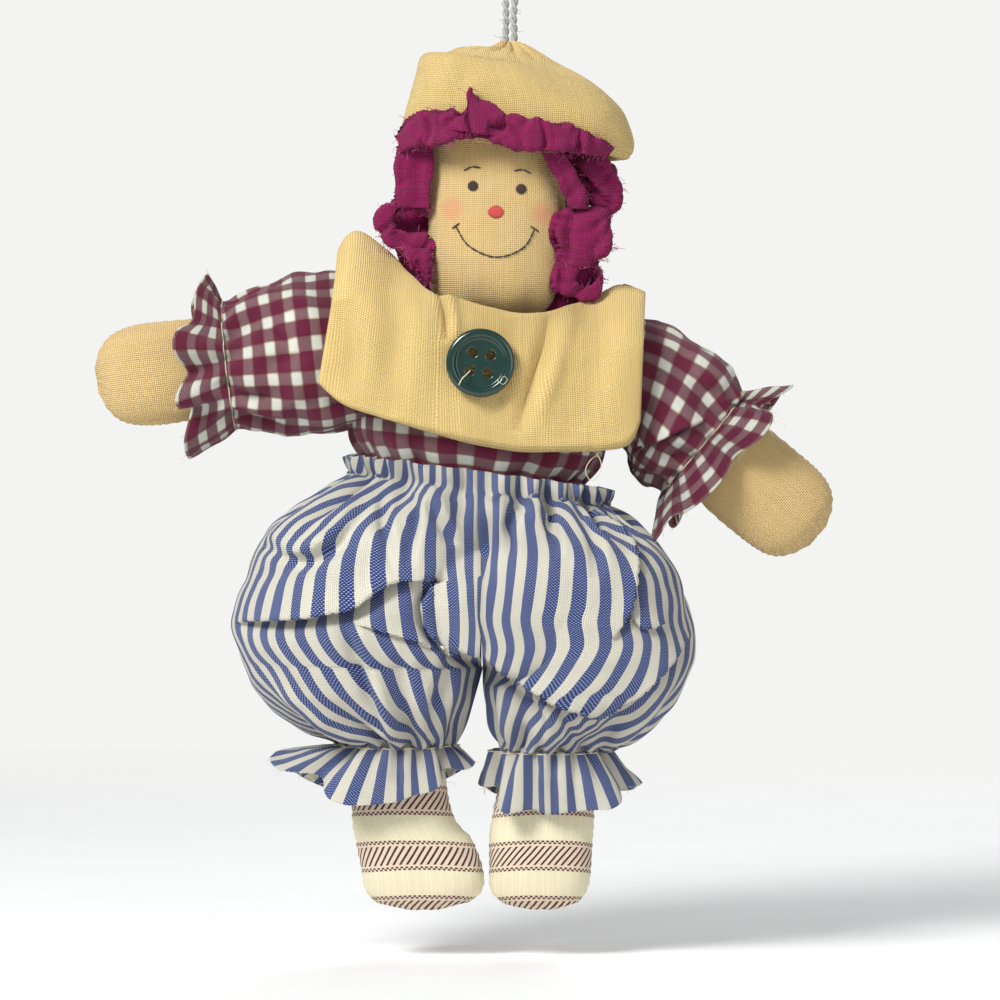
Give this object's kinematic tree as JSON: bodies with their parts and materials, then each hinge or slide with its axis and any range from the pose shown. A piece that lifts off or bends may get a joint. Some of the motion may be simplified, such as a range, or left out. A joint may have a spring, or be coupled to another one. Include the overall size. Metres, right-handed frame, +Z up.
{
  "type": "rag doll",
  "caption": "Stuffed cloth doll in a check shirt, wide collar, gathered trousers, cap and boots, hanging from a twine loop, with loose arms and legs.",
  "frame": {"origin": "inside the top of the twine loop, where a hook bears", "axes": "+Z up along the hanging doll, the doll faces -Y, +X to the viewer's right"},
  "size_m": [0.1758, 0.0478, 0.2807],
  "materials": {
    "linen": "plain-woven tan linen, matte",
    "mustard_cloth": "plain-woven mustard cotton, matte",
    "hair_cloth": "torn burgundy cotton with frayed edges",
    "check_cotton": "burgundy and cream woven check",
    "ticking": "blue and cream woven stripe",
    "boot_cotton": "cream cotton with woven brown lines",
    "twine": "two-ply twisted cotton twine",
    "button_plastic": "glossy dark green",
    "thread": "sewing thread",
    "elastic": "narrow sewn elastic"
  },
  "bodies": {
    "head": {"head": "linen", "cap": "mustard_cloth", "loop_knot": "twine", "hang_loop": "twine", "hair_fringe": "hair_cloth", "hair_left_front": "hair_cloth", "hair_left_puff": "hair_cloth", "hair_left_tuft": "hair_cloth", "hair_right_front": "hair_cloth", "hair_right_side": "hair_cloth", "hair_right_puff": "hair_cloth", "hair_right_tuft": "hair_cloth", "hair_back_upper": "hair_cloth", "hair_back_lower": "hair_cloth"},
    "torso": {"torso": "linen", "shirt_body": "check_cotton", "collar_front": "mustard_cloth", "collar_back": "mustard_cloth", "button": "button_plastic", "button_thread": "thread", "waist_elastic": "elastic", "trousers_left": "ticking", "trousers_right": "ticking"},
    "shoulder_left": {"arm_top_left": "linen", "sleeve_left": "check_cotton"},
    "arm_left": {"arm_left": "linen", "wrist_elastic_left": "elastic", "sleeve_frill_left": "check_cotton"},
    "leg_left": {"leg_left": "boot_cotton", "ankle_elastic_left": "elastic", "trouser_frill_left": "ticking"},
    "shoulder_right": {"arm_top_right": "linen", "sleeve_right": "check_cotton"},
    "arm_right": {"arm_right": "linen", "wrist_elastic_right": "elastic", "sleeve_frill_right": "check_cotton"},
    "leg_right": {"leg_right": "boot_cotton", "ankle_elastic_right": "elastic", "trouser_frill_right": "ticking"}
  },
  "joints": [
    {"name": "neck_nod", "type": "hinge", "parent": "head", "child": "torso", "pos_m": [-0.0051, 0, -0.1355], "axis": [1, 0, 0], "range_deg": [-10, 10]},
    {"name": "shoulder_left_lift", "type": "hinge", "parent": "torso", "child": "shoulder_left", "pos_m": [-0.03995, 0, -0.14782], "axis": [0, 1, 0], "range_deg": [-25, 35], "deforming": ["sleeve_left"]},
    {"name": "arm_left_swing", "type": "hinge", "parent": "shoulder_left", "child": "arm_left", "pos_m": [-0.05435, 0, -0.14953], "axis": [-0.1184, 0, 0.993], "range_deg": [-20, 70], "deforming": ["sleeve_left"]},
    {"name": "shoulder_right_lift", "type": "hinge", "parent": "torso", "child": "shoulder_right", "pos_m": [0.02351, 0, -0.15135], "axis": [0, -1, 0], "range_deg": [-3, 45], "deforming": ["sleeve_right"]},
    {"name": "arm_right_swing", "type": "hinge", "parent": "shoulder_right", "child": "arm_right", "pos_m": [0.03769, 0, -0.16324], "axis": [-0.6428, 0, -0.766], "range_deg": [-20, 65], "deforming": ["sleeve_right"]},
    {"name": "hip_left_swing", "type": "hinge", "parent": "torso", "child": "leg_left", "pos_m": [-0.02697, 0, -0.2017], "axis": [-0.9932, 0, 0.1167], "range_deg": [-20, 85], "deforming": ["trousers_left"]},
    {"name": "hip_right_swing", "type": "hinge", "parent": "torso", "child": "leg_right", "pos_m": [0.00382, 0, -0.20532], "axis": [-0.9932, 0, 0.1167], "range_deg": [-20, 85], "deforming": ["trousers_right"]}
  ]
}
